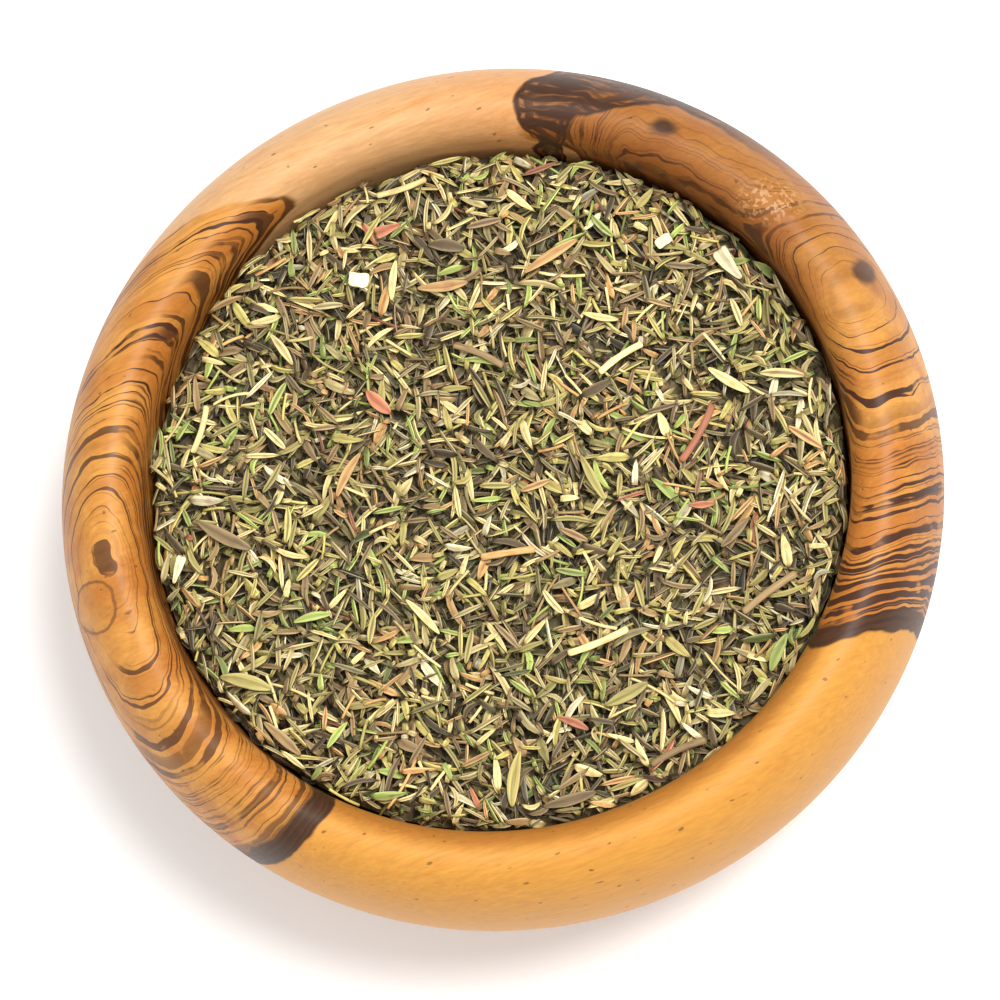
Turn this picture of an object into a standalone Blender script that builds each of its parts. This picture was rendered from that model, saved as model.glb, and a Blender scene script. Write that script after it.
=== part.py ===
"""A turned olive-wood bowl filled with dried, rubbed thyme.

The bowl is one turned piece of wood. The herb is a settled fill with its larger leaves, stem
pieces, calyxes and chips lying on top, each as its own solid. Metres, +Z up, with the origin at
the centre of the bowl's flat foot. The grain of the wood, and so the long way of the slightly
oval bowl, runs at GRAIN_HEADING from +X.
"""

import math

import bpy

MM = 0.001

# Bowl, in millimetres
RADIUS = 55.0
HEIGHT = 46.0
BELLY_Z = 31.0
CREST_RADIUS = 47.6
LIP_RADIUS = 43.7
LIP_Z = 41.0
FLOOR_Z = 8.5
FOOT_CURVE_RADIUS = 20.0
FOOT_CURVE_DEPTH = 32.8
FOOT_CHAMFER = 0.8
INSIDE_FULLNESS = 2.5
TURNING_STEPS = 60
INSIDE_POINTS = 12
LIP_POINTS = 5
SHOULDER_POINTS = 8
BELLY_POINTS = 8
MERGE_DISTANCE = 0.00001

# Green wood shrinks across its grain, so a turned bowl dries a little oval.
GRAIN_HEADING = 18.0
ALONG_GRAIN = 1.011
ACROSS_GRAIN = 0.989

# Herb, in millimetres
FILL_EDGE_Z = 38.0
FILL_CROWN = 1.8
FILL_WALL_GAP = 0.35
FILL_STEPS = 48
FILL_WALL_POINTS = 8
CROWN_POINTS = 5
PIECE_GAP = 0.4

# Each row is x, y, heading in degrees, length, width.
BROAD_LEAVES = (
    (-13.1, 26.2, 84, 5.6, 1.3),
    (-6.6, 25.0, 6, 7.0, 1.8),
    (-6.2, 30.6, -8, 5.0, 2.2),
    (7.2, 28.4, 32, 8.6, 1.7),
    (13.2, 21.4, -12, 5.0, 1.2),
    (-34.2, -6.2, -28, 8.6, 2.2),
    (-31.0, -24.0, -14, 7.2, 2.3),
    (-26.8, -31.6, -42, 6.8, 1.7),
    (2.1, -36.6, 82, 7.6, 2.0),
    (9.2, -39.6, 15, 7.4, 1.9),
    (16.0, -26.0, 28, 6.4, 2.1),
    (-9.3, -16.8, -46, 6.6, 1.3),
    (-22.8, -16.2, 12, 5.2, 1.4),
    (-19.4, -31.2, 52, 4.4, 1.1),
    (29.4, -6.2, 46, 5.4, 1.4),
    (11.8, 0.4, -62, 7.0, 1.5),
    (-18.6, 1.6, 62, 6.8, 1.5),
    (28.8, 12.4, -32, 6.6, 1.6),
    (34.6, -21.2, 66, 5.6, 1.8),
    (-27.2, 17.4, -54, 5.4, 1.4),
)
STEM_PIECES = (
    (24.8, 6.2, 61, 8.2, 0.8),
    (15.8, 15.4, 34, 6.4, 0.8),
    (12.6, -19.6, 22, 8.0, 0.8),
    (34.0, -14.2, 36, 8.2, 0.8),
    (-2.0, 16.4, -24, 6.8, 0.8),
    (-37.0, 7.6, 74, 6.2, 0.7),
    (1.6, -8.6, 8, 6.8, 0.8),
    (22.6, -33.8, 24, 7.4, 0.8),
    (-12.0, 38.4, 18, 6.6, 0.7),
)
RUSSET_LEAVES = (
    (-14.4, 10.8, -44, 4.6, 2.2),
    (9.4, -30.2, -22, 4.6, 1.3),
    (25.6, -2.6, 4, 3.6, 1.2),
    (5.6, 40.0, 20, 5.0, 0.9),
)
CALYXES = (
    (29.2, 27.6, -52, 4.6, 2.6),
    (-13.6, 32.8, 20, 3.4, 1.9),
    (-39.8, -10.2, 74, 3.6, 1.5),
)
CHIPS = (
    (-17.2, 26.4, -8, 2.6, 2.1),
    (21.0, 30.6, 35, 2.2, 1.6),
)
SCATTERED_COUNT = 20
SCATTERED_FIELD_RADIUS = 39.0
SCATTERED_LENGTHS = (4.2, 5.6, 4.8, 6.2, 5.0)
SCATTERED_WIDTHS = (1.1, 1.4, 1.0, 1.5, 1.2)
GOLDEN_SHARE = (math.sqrt(5.0) - 1.0) / 2.0
GOLDEN_ANGLE = 360.0 * (1.0 - GOLDEN_SHARE)
HEADING_STEP = 67.0
CLEAR_BETWEEN = 0.4

# Width of a piece at even steps from its stalk to its tip, as a share of its full width.
LEAF_OUTLINE = (0.16, 0.55, 0.88, 1.0, 0.92, 0.62, 0.14)
STEM_OUTLINE = (0.92, 1.0, 0.95, 0.98, 0.9)
CALYX_OUTLINE = (0.22, 0.62, 0.74, 0.72, 0.82, 1.0)
# Thickness as a share of width
LEAF_THICKNESS = 0.42
STEM_THICKNESS = 0.95
CALYX_THICKNESS = 0.7
# How far a leaf's middle stands up and aside, as a share of its length
LEAF_BOW = 0.07
LEAF_BEND = 0.06
SECTION_SIDES = 6
CHIP_HEIGHT = 0.5
CHIP_BEVEL = 0.12

WOOD_COLOUR = (0.70, 0.36, 0.11, 1.0)
FILL_COLOUR = (0.19, 0.16, 0.06, 1.0)
LEAF_COLOUR = (0.36, 0.31, 0.13, 1.0)
STEM_COLOUR = (0.55, 0.43, 0.20, 1.0)
RUSSET_COLOUR = (0.33, 0.12, 0.04, 1.0)
CALYX_COLOUR = (0.58, 0.48, 0.26, 1.0)


def clear_scene():
    for old in list(bpy.data.objects):
        bpy.data.objects.remove(old)


def new_collection(name):
    collection = bpy.data.collections.new(name)
    bpy.context.scene.collection.children.link(collection)
    return collection


def new_material(name, colour, roughness):
    material = bpy.data.materials.new(name)
    material.use_nodes = True
    shader = material.node_tree.nodes["Principled BSDF"]
    shader.inputs["Base Color"].default_value = colour
    shader.inputs["Roughness"].default_value = roughness
    shader.inputs["Metallic"].default_value = 0.0
    return material


def arc(centre, semi_axes, start, end, count, fullness=2.0):
    """Points on a superellipse from one angle to another, in degrees, both ends included."""
    points = []
    for step in range(count + 1):
        angle = math.radians(start + (end - start) * step / count)
        across = abs(math.cos(angle)) ** (2.0 / fullness)
        up = abs(math.sin(angle)) ** (2.0 / fullness)
        points.append(
            (
                centre[0] + math.copysign(semi_axes[0] * across, math.cos(angle)),
                centre[1] + math.copysign(semi_axes[1] * up, math.sin(angle)),
            )
        )
    return points


def inside_wall(top_z, gap, count):
    """The bowl's inside from the middle of its floor up to top_z, drawn in by gap."""
    semi_axes = (LIP_RADIUS - gap, LIP_Z - FLOOR_Z - gap)
    rise = min(1.0, (LIP_Z - top_z) / semi_axes[1])
    end = -math.degrees(math.asin(rise ** (INSIDE_FULLNESS / 2.0)))
    points = arc((0.0, LIP_Z), semi_axes, -90.0, end, count, INSIDE_FULLNESS)
    return [(0.0, LIP_Z - semi_axes[1])] + points[1:]


def turned(name, profile, steps, material, collection):
    """A turned solid from a profile in millimetres that ends by running down its outside."""
    mesh = bpy.data.meshes.new(name)
    corners = [(radius * MM, 0.0, height * MM) for radius, height in profile]
    edges = [(index, index + 1) for index in range(len(corners) - 1)]
    mesh.from_pydata(corners, edges, [])
    obj = bpy.data.objects.new(name, mesh)
    collection.objects.link(obj)
    screw = obj.modifiers.new("Turning", "SCREW")
    screw.axis = "Z"
    screw.angle = math.radians(360.0)
    screw.steps = steps
    screw.render_steps = steps
    screw.use_merge_vertices = True
    screw.merge_threshold = MERGE_DISTANCE
    screw.use_smooth_shade = True
    obj.scale = (ALONG_GRAIN, ACROSS_GRAIN, 1.0)
    obj.rotation_euler.z = math.radians(GRAIN_HEADING)
    mesh.materials.append(material)
    return obj


def bowl_profile():
    """Inner floor to lip, over the rounded crest, down the belly and across the foot."""
    inside = inside_wall(LIP_Z, 0.0, INSIDE_POINTS)
    lip_axes = (CREST_RADIUS - LIP_RADIUS, HEIGHT - LIP_Z)
    lip = arc((CREST_RADIUS, LIP_Z), lip_axes, 180.0, 90.0, LIP_POINTS)
    shoulder_axes = (RADIUS - CREST_RADIUS, HEIGHT - BELLY_Z)
    shoulder = arc((CREST_RADIUS, BELLY_Z), shoulder_axes, 90.0, 0.0, SHOULDER_POINTS)
    belly_axes = (RADIUS - FOOT_CURVE_RADIUS, FOOT_CURVE_DEPTH)
    lowest = -math.degrees(math.asin((BELLY_Z - FOOT_CHAMFER) / FOOT_CURVE_DEPTH))
    belly = arc((FOOT_CURVE_RADIUS, BELLY_Z), belly_axes, 0.0, lowest, BELLY_POINTS)
    foot_radius = belly[-1][0] - FOOT_CHAMFER
    return inside + lip[1:] + shoulder[1:] + belly[1:] + [(foot_radius, 0.0), (0.0, 0.0)]


def fill_height(x, y):
    """Top of the settled herb, a low crown inside the bowl."""
    share = min(1.0, math.hypot(x, y) / LIP_RADIUS)
    return FILL_EDGE_Z + FILL_CROWN * (1.0 - share**2)


def fill_profile():
    """Middle of the crown out to the wall, then down the wall to the floor."""
    wall = inside_wall(FILL_EDGE_Z, FILL_WALL_GAP, FILL_WALL_POINTS)
    wall.reverse()
    edge_radius = wall[0][0]
    top = []
    for step in range(CROWN_POINTS):
        radius = edge_radius * step / CROWN_POINTS
        top.append((radius, fill_height(radius, 0.0)))
    return top + wall


def section_curve(name, thickness, collection):
    """An oval cross-section, one unit wide, that leaves and stems are drawn with."""
    curve = bpy.data.curves.new(name, "CURVE")
    curve.dimensions = "2D"
    spline = curve.splines.new("POLY")
    spline.points.add(SECTION_SIDES - 1)
    for index, point in enumerate(spline.points):
        angle = -2.0 * math.pi * (index + 0.5) / SECTION_SIDES
        point.co = (0.5 * math.cos(angle), 0.5 * thickness * math.sin(angle), 0.0, 1.0)
    spline.use_cyclic_u = True
    guide = bpy.data.objects.new(name, curve)
    guide.hide_render = True
    guide.display_type = "WIRE"
    collection.objects.link(guide)
    return guide


def centreline(length, point_count, bow, bend):
    """Points along a piece: it bows upwards in the middle and bends to one side."""
    points = []
    for index in range(point_count):
        along = 2.0 * index / (point_count - 1) - 1.0
        arch = 1.0 - along**2
        points.append((along * length / 2.0, bend * length * arch, bow * length * arch))
    return points


def resting_height(x, y, heading, points, undersides):
    """Height that holds every point of a piece a gap above the fill."""
    turn = math.radians(heading)
    needed = []
    for (along, aside, up), underside in zip(points, undersides):
        world_x = x + along * math.cos(turn) - aside * math.sin(turn)
        world_y = y + along * math.sin(turn) + aside * math.cos(turn)
        needed.append(fill_height(world_x, world_y) + PIECE_GAP + underside - up)
    return max(needed)


def drawn_piece(name, place, outline, section, thickness, bend, material, collection):
    """A leaf, stem or calyx: a tapering curve with an oval section, lying on the fill."""
    x, y, heading, length, width = place
    points = centreline(length, len(outline), LEAF_BOW, bend)
    curve = bpy.data.curves.new(name, "CURVE")
    curve.dimensions = "3D"
    curve.twist_mode = "Z_UP"
    curve.bevel_mode = "OBJECT"
    curve.bevel_object = section
    curve.use_fill_caps = True
    curve.resolution_u = 1
    spline = curve.splines.new("POLY")
    spline.points.add(len(points) - 1)
    for point, (along, aside, up), share in zip(spline.points, points, outline):
        point.co = (along * MM, aside * MM, up * MM, 1.0)
        point.radius = share * width * MM
    curve.materials.append(material)
    obj = bpy.data.objects.new(name, curve)
    undersides = [share * width * thickness / 2.0 for share in outline]
    height = resting_height(x, y, heading, points, undersides)
    obj.location = (x * MM, y * MM, height * MM)
    obj.rotation_euler.z = math.radians(heading)
    collection.objects.link(obj)
    return obj


def chip(name, place, material, collection):
    """A flat flake of stem bark."""
    x, y, heading, length, width = place
    bpy.ops.mesh.primitive_cube_add(size=1.0)
    obj = bpy.context.active_object
    obj.name = name
    for vertex in obj.data.vertices:
        vertex.co.x *= length * MM
        vertex.co.y *= width * MM
        vertex.co.z *= CHIP_HEIGHT * MM
    bevel = obj.modifiers.new("Worn edges", "BEVEL")
    bevel.width = CHIP_BEVEL * MM
    bevel.segments = 1
    half = (length + width) / 4.0
    corners = [(-half, 0.0, 0.0), (half, 0.0, 0.0), (0.0, half, 0.0), (0.0, -half, 0.0)]
    height = resting_height(x, y, heading, corners, [CHIP_HEIGHT / 2.0] * 4)
    obj.location = (x * MM, y * MM, height * MM)
    obj.rotation_euler.z = math.radians(heading)
    obj.data.materials.append(material)
    for owner in list(obj.users_collection):
        owner.objects.unlink(obj)
    collection.objects.link(obj)
    return obj


def scattered_places(taken):
    """Smaller leaves spread by the golden angle wherever the named pieces leave room."""
    places = []
    index = 0
    while len(places) < SCATTERED_COUNT:
        radius = SCATTERED_FIELD_RADIUS * math.sqrt((index * GOLDEN_SHARE) % 1.0)
        angle = math.radians(index * GOLDEN_ANGLE)
        x = radius * math.cos(angle)
        y = radius * math.sin(angle)
        length = SCATTERED_LENGTHS[index % len(SCATTERED_LENGTHS)]
        width = SCATTERED_WIDTHS[index % len(SCATTERED_WIDTHS)]
        near = [
            math.hypot(x - other[0], y - other[1]) - (length + other[3]) / 2.0
            for other in taken + places
        ]
        if min(near) > CLEAR_BETWEEN:
            places.append((x, y, (index * HEADING_STEP) % 180.0, length, width))
        index += 1
    return places


def alternating(amount, index):
    return amount if index % 2 else -amount


def main():
    clear_scene()
    parts = new_collection("bowl_of_dried_thyme")
    guides = new_collection("guides")
    wood = new_material("olive_wood", WOOD_COLOUR, 0.42)
    herb = new_material("thyme_bulk", FILL_COLOUR, 0.9)
    leaf = new_material("dried_leaf", LEAF_COLOUR, 0.8)
    stem = new_material("dried_stem", STEM_COLOUR, 0.7)
    russet = new_material("russet_leaf", RUSSET_COLOUR, 0.8)
    husk = new_material("dried_calyx", CALYX_COLOUR, 0.8)

    turned("olive_wood_bowl", bowl_profile(), TURNING_STEPS, wood, parts)
    turned("thyme_fill", fill_profile(), FILL_STEPS, herb, parts)

    placed = list(BROAD_LEAVES + STEM_PIECES + RUSSET_LEAVES + CALYXES + CHIPS)
    groups = (
        ("broad_leaf", BROAD_LEAVES, LEAF_OUTLINE, LEAF_THICKNESS, leaf),
        ("stem_piece", STEM_PIECES, STEM_OUTLINE, STEM_THICKNESS, stem),
        ("russet_leaf", RUSSET_LEAVES, LEAF_OUTLINE, LEAF_THICKNESS, russet),
        ("calyx", CALYXES, CALYX_OUTLINE, CALYX_THICKNESS, husk),
        ("small_leaf", scattered_places(placed), LEAF_OUTLINE, LEAF_THICKNESS, leaf),
    )
    for name, places, outline, thickness, material in groups:
        section = section_curve(f"{name}_section", thickness, guides)
        for index, place in enumerate(places):
            drawn_piece(
                f"{name}_{index + 1:02d}",
                place,
                outline,
                section,
                thickness,
                alternating(LEAF_BEND, index),
                material,
                parts,
            )
    for index, place in enumerate(CHIPS):
        chip(f"bark_chip_{index + 1:02d}", place, husk, parts)


main()
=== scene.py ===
# %% [markdown]
# # A bowl of dried thyme
#
# The object is a small turned bowl of olive wood, filled close to its rim with dried, rubbed
# thyme. Two things have to look right: the strong figure of the olive wood, and the litter of
# thousands of needle-like leaves. This lesson makes the wood as a solid pattern that the bowl is
# cut from, as a turner cuts it from a log. The herb is made the way it fills a real bowl: leaf
# after leaf is dropped, and each one comes to rest on those below it.

# %% Load the frame that the bowl was built in
import math

import bmesh
import bpy
import numpy as np
from mathutils import Euler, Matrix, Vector


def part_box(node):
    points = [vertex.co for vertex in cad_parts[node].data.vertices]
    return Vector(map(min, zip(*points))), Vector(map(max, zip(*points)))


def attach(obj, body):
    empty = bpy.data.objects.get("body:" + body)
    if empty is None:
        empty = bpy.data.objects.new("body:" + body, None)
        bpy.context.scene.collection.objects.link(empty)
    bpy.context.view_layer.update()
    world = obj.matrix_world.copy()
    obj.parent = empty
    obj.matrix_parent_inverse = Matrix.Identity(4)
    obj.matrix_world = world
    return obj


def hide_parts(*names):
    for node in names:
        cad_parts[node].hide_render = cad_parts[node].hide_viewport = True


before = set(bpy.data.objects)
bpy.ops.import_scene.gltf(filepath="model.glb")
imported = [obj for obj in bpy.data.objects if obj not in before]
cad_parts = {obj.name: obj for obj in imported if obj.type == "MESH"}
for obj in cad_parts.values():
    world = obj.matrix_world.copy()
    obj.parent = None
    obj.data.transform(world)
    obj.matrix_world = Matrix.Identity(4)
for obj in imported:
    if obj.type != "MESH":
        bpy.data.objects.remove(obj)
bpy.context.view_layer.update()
MM = 0.001

bowl_low, bowl_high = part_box("olive_wood_bowl")
crest_z = bowl_high[2]
print("bowl, mm:", [round((high - low) / MM, 1) for low, high in zip(bowl_low, bowl_high)])

# %% [markdown]
# ## Camera, light and floor
#
# The bowl is looked at from almost straight above, from a little in front and to the right, with
# a long lens. A camera with no rotation looks straight down with +Y up in the view, so
# two small tilts are all it needs.

# %% Camera
VIEW_TILT = (math.radians(9.9), math.radians(5.0), 0.0)
VIEW_DISTANCE = 0.6
VIEW_CENTRE = Vector((0.00023, -0.0013, 0.036))
LENS = 173.2


def add_camera():
    data = bpy.data.cameras.new("view")
    data.lens = LENS
    camera = bpy.data.objects.new("view", data)
    bpy.context.scene.collection.objects.link(camera)
    turn = Euler(VIEW_TILT)
    camera.rotation_euler = turn
    camera.location = VIEW_CENTRE + turn.to_matrix() @ Vector((0.0, 0.0, VIEW_DISTANCE))
    bpy.context.scene.camera = camera


add_camera()

# %% [markdown]
# The light is a soft studio light: one big lamp high up on the right and to the back, which
# leaves the inside of the rim there in shade, a weaker one opposite, and a pale sky for the rest.
# The colours are meant to be read as they are, so the Standard view is used.

# %% Lamps, sky and floor
def add_lamp(name, place, size, power, colour):
    data = bpy.data.lights.new(name, "AREA")
    data.shape = "DISK"
    data.size = size
    data.energy = power
    data.color = colour
    lamp = bpy.data.objects.new(name, data)
    bpy.context.scene.collection.objects.link(lamp)
    lamp.location = place
    lamp.rotation_euler = (-Vector(place)).to_track_quat("-Z", "Y").to_euler()


SKY_STRENGTH = 0.80
add_lamp("key_light", (0.24, 0.12, 0.80), 0.34, 8.2, (1.0, 0.985, 0.96))
add_lamp("fill_light", (-0.45, -0.30, 0.60), 0.50, 0.9, (0.97, 0.985, 1.0))

world = bpy.data.worlds.new("studio")
bpy.context.scene.world = world
world.use_nodes = True
sky = world.node_tree.nodes["Background"]
sky.inputs["Color"].default_value = (1.0, 1.0, 1.0, 1.0)
sky.inputs["Strength"].default_value = SKY_STRENGTH
bpy.context.scene.view_settings.view_transform = "Standard"

FLOOR_SIZE = 3.0


def add_floor():
    bpy.ops.mesh.primitive_plane_add(size=FLOOR_SIZE, location=(0.0, 0.0, bowl_low[2]))
    floor = bpy.context.active_object
    floor.name = "floor"
    paint = bpy.data.materials.new("white_table")
    paint.use_nodes = True
    shader = paint.node_tree.nodes["Principled BSDF"]
    shader.inputs["Base Color"].default_value = (0.96, 0.96, 0.96, 1.0)
    shader.inputs["Roughness"].default_value = 0.8
    floor.data.materials.append(paint)


bpy.ops.object.select_all(action="DESELECT")
add_floor()

# %% [markdown]
# ## Reckoning with shader nodes
#
# The patterns below are mostly sums. A wire stands for a node's output, and a sum written with
# wires builds its own nodes: with a and b as wires, a * b + 0.5 adds two maths nodes to their
# tree. Vectors work the same way, and a vector times a number is scaled.

# %% Wires and maths nodes
def is_vector(value):
    if isinstance(value, Wire):
        return value.socket.type in ("VECTOR", "RGBA")
    return isinstance(value, tuple)


def tree_of(*values):
    return next(value.socket.id_data for value in values if isinstance(value, Wire))


def feed(socket, value):
    """Link a wire to the socket, or set the socket to a plain value."""
    if isinstance(value, Wire):
        socket.id_data.links.new(value.socket, socket)
    else:
        socket.default_value = value


def maths(operation, *values, kind="Math", output=0, clamp=False):
    node = tree_of(*values).nodes.new("ShaderNode" + kind)
    node.operation = operation
    if clamp:
        node.use_clamp = True
    for socket, value in zip(node.inputs, values):
        feed(socket, value)
    return Wire(node.outputs[output])


class Wire:
    """A node's output that can be added, multiplied and so on."""

    def __init__(self, socket):
        self.socket = socket

    def reckon(self, operation, first, second):
        return maths(operation, first, second, kind="VectorMath" if is_vector(self) else "Math")

    def __add__(self, other):
        return self.reckon("ADD", self, other)

    def __sub__(self, other):
        return self.reckon("SUBTRACT", self, other)

    def __rsub__(self, other):
        return self.reckon("SUBTRACT", other, self)

    def __mul__(self, other):
        if is_vector(self) and not is_vector(other):
            node = tree_of(self).nodes.new("ShaderNodeVectorMath")
            node.operation = "SCALE"
            feed(node.inputs[0], self)
            feed(node.inputs["Scale"], other)
            return Wire(node.outputs[0])
        return self.reckon("MULTIPLY", self, other)

    def __truediv__(self, other):
        return self.reckon("DIVIDE", self, other)

    def __pow__(self, other):
        return self.reckon("POWER", self, other)


def larger(first, second):
    return maths("MAXIMUM", first, second)


def length(vector):
    return maths("LENGTH", vector, kind="VectorMath", output="Value")


def split(vector):
    """The three parts of a vector."""
    node = tree_of(vector).nodes.new("ShaderNodeSeparateXYZ")
    feed(node.inputs[0], vector)
    return [Wire(output) for output in node.outputs]


# %% [markdown]
# The few other kinds of node get a one-line helper each, and so do groups and materials.

# %% Helpers for the other nodes
def noise(vector, size, detail=2.0, roughness=0.5, output="Fac"):
    """Noise whose lumps are about size across, in the units of vector."""
    node = tree_of(vector).nodes.new("ShaderNodeTexNoise")
    settings = {"Vector": vector, "Scale": 1.0 / size, "Detail": detail, "Roughness": roughness}
    for name, value in settings.items():
        feed(node.inputs[name], value)
    return Wire(node.outputs[output])


def ramp(factor, low, high, to_low=0.0, to_high=1.0, kind="SMOOTHSTEP"):
    """Go from to_low to to_high while factor goes from low to high, and stay there outside."""
    node = tree_of(factor).nodes.new("ShaderNodeMapRange")
    node.interpolation_type = kind
    settings = {"Value": factor, "From Min": low, "From Max": high, "To Min": to_low, "To Max": to_high}
    for name, value in settings.items():
        feed(node.inputs[name], value)
    return Wire(node.outputs[0])


def mixed(factor, first, second):
    node = tree_of(factor, first, second).nodes.new("ShaderNodeMix")
    node.data_type = "RGBA"
    for name, value in (("Factor", factor), ("A", first), ("B", second)):
        feed(node.inputs[name], value)
    return Wire(node.outputs["Result"])


def source(tree, kind, output):
    return Wire(tree.nodes.new("ShaderNode" + kind).outputs[output])


def new_group(name, inputs, outputs):
    """A shader node group, wires from its inputs, and a function that feeds its outputs."""
    tree = bpy.data.node_groups.new(name, "ShaderNodeTree")
    for side, sockets in (("INPUT", inputs), ("OUTPUT", outputs)):
        for socket_name, kind in sockets.items():
            tree.interface.new_socket(socket_name, in_out=side, socket_type="NodeSocket" + kind)
    entry, end = tree.nodes.new("NodeGroupInput"), tree.nodes.new("NodeGroupOutput")

    def leave(**values):
        for socket_name, value in values.items():
            feed(end.inputs[socket_name], value)
        print(name + ":", len(tree.nodes), "nodes")
        return tree

    return tree, {output.name: Wire(output) for output in entry.outputs if output.name}, leave


def place_group(tree, group, **values):
    """Place a group with its inputs set, and give wires from its outputs."""
    node = tree.nodes.new("ShaderNodeGroup")
    node.node_tree = group
    for name, value in values.items():
        feed(node.inputs[name.replace("_", " ")], value)
    return {output.name: Wire(output) for output in node.outputs}


def new_material(name, roughness):
    """A material, its tree and its Principled shader."""
    material = bpy.data.materials.new(name)
    material.use_nodes = True
    shader = material.node_tree.nodes["Principled BSDF"]
    shader.inputs["Roughness"].default_value = roughness
    return material, material.node_tree, shader


def add_bump(shader, height, distance, strength=1.0):
    bump = tree_of(height).nodes.new("ShaderNodeBump")
    bump.inputs["Strength"].default_value = strength
    bump.inputs["Distance"].default_value = distance
    feed(bump.inputs["Height"], height)
    feed(shader.inputs["Normal"], Wire(bump.outputs[0]))


# %% [markdown]
# The bowl's own measures are those of the frame's bowl. Both its shape and the figure of its wood
# depend on them, so they come first.

# %% The bowl's measures, in millimetres
RADIUS = 55.0
BELLY_Z = 31.0
CREST_RADIUS = 47.6
LIP_RADIUS = 43.7
LIP_Z = 41.0
FLOOR_Z = 8.5
FOOT_CURVE_RADIUS = 20.0
FOOT_CURVE_DEPTH = 32.8
FOOT_CHAMFER = 0.8
INSIDE_FULLNESS = 2.5
GRAIN_HEADING = math.radians(18.0)
ALONG_GRAIN = 1.011
ACROSS_GRAIN = 0.989

# %% [markdown]
# ## The olive log
#
# Olive wood is known for its dark, wavy growth lines. A pattern painted on the surface would give
# itself away where the rim turns over into the wall, so the figure is a solid one: a log with its
# pith above the bowl, and the bowl cut out of it. Growth lines are where the distance to the pith
# passes from one year to the next. The log lies along the bowl's grain, a little turned from +X.
#
# The first group gives that distance, with the log bent by noise at three sizes: slow waves, the
# jagged steps typical of olive, and a fine tremble.

# %% The distance to the pith
LOG_HEADING = math.radians(21.5)
PITH_ASIDE = 5.6
PITH_ABOVE = 25.0
PITH_DEPTH = 15.0
WALL_PULL = 0.62
OUTER_SHARE_LEFT = 0.70
OUTER_SHARE_RIGHT = 0.16
WAVE_SIZES = (26.0, 8.0, 2.2)
WAVE_AMOUNTS = (2.2, 1.3, 0.5)
ALONG_STRETCH = 0.6


MIDDLE = (0.5, 0.5, 0.5)


def log_group():
    _, entry, leave = new_group(
        "olive_log", {"Vector": "Vector"}, {"Distance": "Float", "Grain": "Vector", "Side": "Float"}
    )
    place = entry["Vector"] * (1.0 / MM)
    turn = tree_of(place).nodes.new("ShaderNodeMapping")
    feed(turn.inputs["Vector"], place)
    turn.inputs["Rotation"].default_value[2] = -LOG_HEADING
    turn.inputs["Location"].default_value[1] = -PITH_ASIDE
    grain = bent = Wire(turn.outputs["Vector"])
    squeezed = grain * (ALONG_STRETCH, 1.0, 0.7)
    for size, amount in zip(WAVE_SIZES, WAVE_AMOUNTS):
        wave = noise(squeezed, size, 1.0, 0.5, "Color") - MIDDLE
        bent = bent + wave * (2.0 * amount)
    along, aside, height = split(bent)
    below = crest_z / MM - height
    out = length(place * (1.0, 1.0, 0.0))
    outer = ramp(along, -22.0, 8.0, WALL_PULL * OUTER_SHARE_LEFT, WALL_PULL * OUTER_SHARE_RIGHT)
    pull = ramp(out, 45.5, 50.5, WALL_PULL, outer)
    squares = below * (below + 2.0 * PITH_ABOVE) * pull + (aside * aside + PITH_DEPTH**2)
    return leave(Distance=maths("SQRT", larger(squares, 0.0)), Grain=grain, Side=aside)


olive_log = log_group()

# %% [markdown]
# A knot or a burr pushes the growth lines outwards, so that they close round it or swing past it
# in bows. One group makes that push for one knot: a soft hill of the given size, and how far out
# from its middle a place is, which is 1 at its edge.

# %% Knots push the lines aside
def knot_group():
    _, entry, leave = new_group(
        "knot",
        {"Vector": "Vector", "Centre": "Vector", "Size": "Vector"},
        {"Hill": "Float", "Reach": "Float"},
    )
    ripple = noise(entry["Vector"], 3.0, 2.0, 0.5, "Color") - MIDDLE
    offset = entry["Vector"] - entry["Centre"] + ripple * 1.3
    reach = length(offset / entry["Size"])
    return leave(Hill=maths("EXPONENT", reach * reach * -1.0), Reach=reach)


knot = knot_group()

# %% [markdown]
# The growth lines themselves: each year's wood darkens slowly outwards and ends in a thin, sharp,
# nearly black line. Years differ in width and strength, and a line fades and comes back along its
# way.

# %% Growth lines
LINE_END = 0.955


def growth_line_group():
    numbers = ("Distance", "Year Width", "Line Share", "Shade", "Weakest")
    tree, entry, leave = new_group(
        "growth_lines",
        {"Vector": "Vector", **{name: "Float" for name in numbers}},
        {"Line": "Float", "Shade": "Float"},
    )
    distance, year_width, line_share, shade_share, weakest = (entry[name] for name in numbers)
    uneven = tree.nodes.new("ShaderNodeTexNoise")
    uneven.noise_dimensions = "1D"
    feed(uneven.inputs["W"], distance / 5.0)
    years = Wire(uneven.outputs["Fac"]) * 1.8 + distance / year_width
    within = maths("FRACT", years)
    strength = tree.nodes.new("ShaderNodeTexWhiteNoise")
    strength.noise_dimensions = "1D"
    feed(strength.inputs["W"], maths("FLOOR", years))
    strong = ramp(Wire(strength.outputs["Value"]), 0.0, 1.0, weakest, 1.0, "LINEAR")
    fade = ramp(noise(entry["Vector"], 7.0, 3.0, 0.6), 0.36, 0.56, 0.2, 1.0) * strong
    width = line_share * (fade * 0.7 + 0.4)
    start = 0.96 - width
    edge = ramp(within, LINE_END, 1.0, 1.0, 0.0)
    line = ramp(within, start - width, start) * edge * fade**0.7
    shade = within**2.6 * (edge * fade)
    return leave(Line=maths("MULTIPLY", line, 2.4, clamp=True), Shade=shade * shade_share)


growth_lines = growth_line_group()

# %% [markdown]
# Close up, the wood shows short fibres along the grain and a few small dark pores. The same group
# serves the bowl's colour, its roughness and its bump.

# %% Fibres and pores
FIBRE_LENGTH = 7.0


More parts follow.
